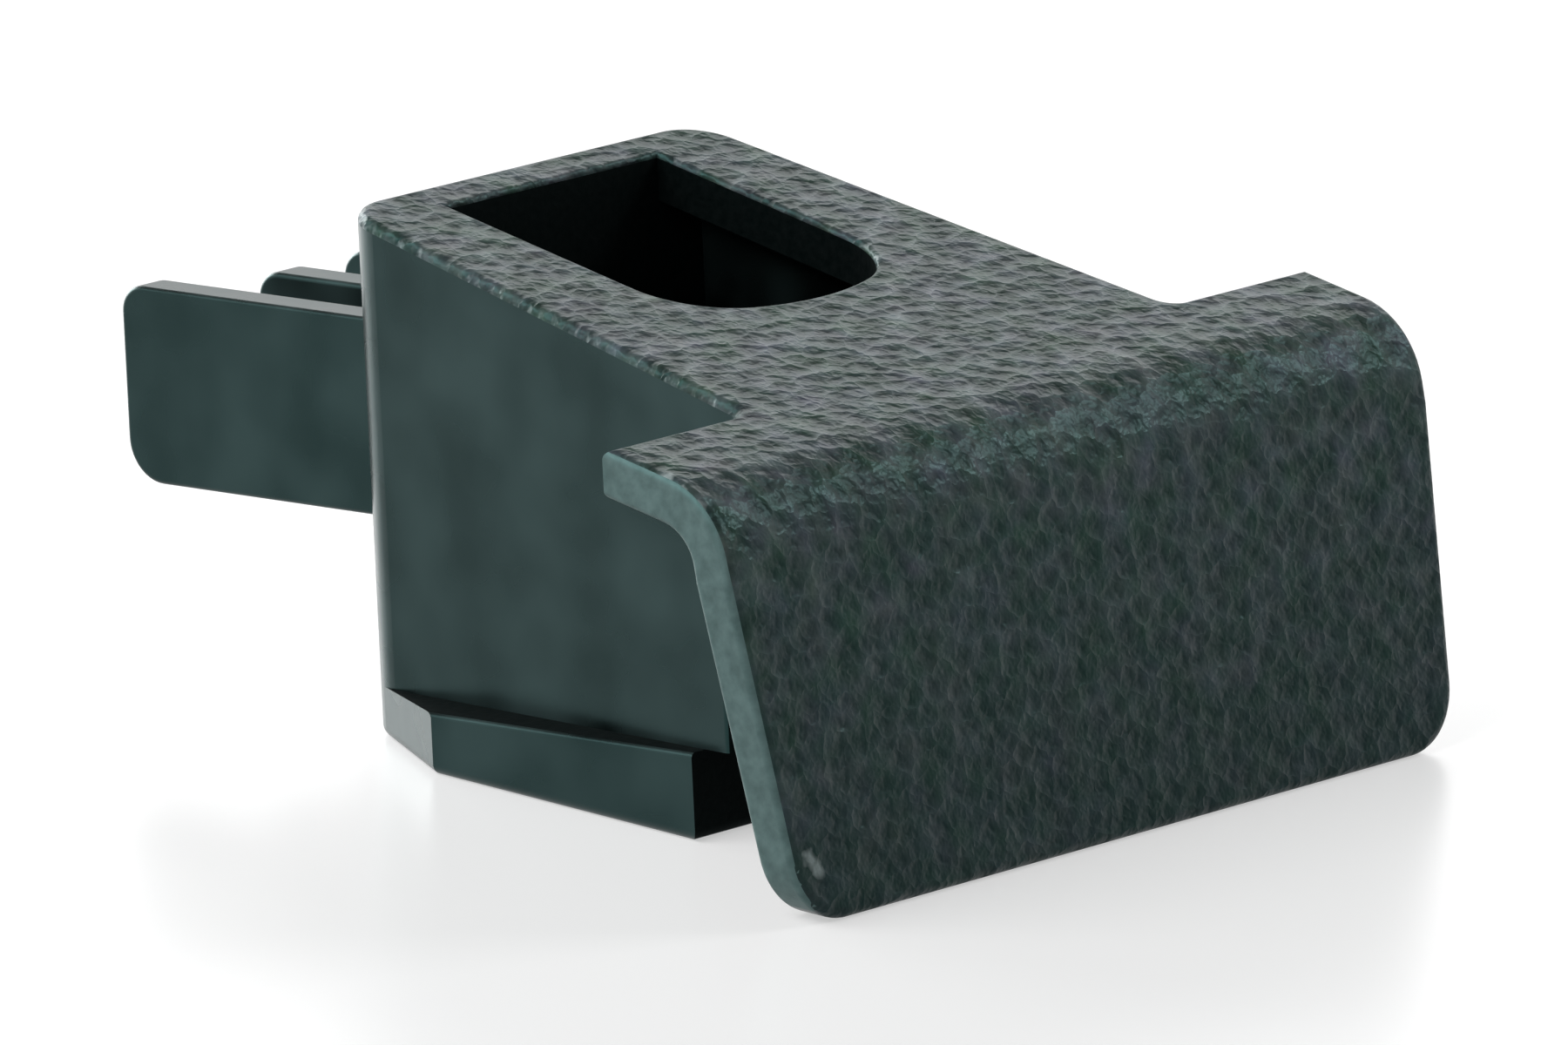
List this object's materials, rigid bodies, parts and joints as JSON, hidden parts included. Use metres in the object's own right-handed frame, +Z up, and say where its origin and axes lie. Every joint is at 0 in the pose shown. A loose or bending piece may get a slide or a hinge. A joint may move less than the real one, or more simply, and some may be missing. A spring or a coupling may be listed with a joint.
{
  "type": "door panel clip",
  "caption": "Black moulded clip for a door panel: a hollow wedge body with a D-shaped hole in its sloping top, a wide bent flap in front and flat legs at the back.",
  "frame": {"origin": "on the base it stands on, under the centre of the bounding box", "axes": "+X towards the flap, +Y across the flap, +Z up"},
  "size_m": [0.0424, 0.0362, 0.0188],
  "materials": {
    "black_plastic": "grained on the top and the flap's front, smooth satin elsewhere"
  },
  "bodies": {
    "root": {"panel_clip": "black_plastic"}
  },
  "joints": []
}
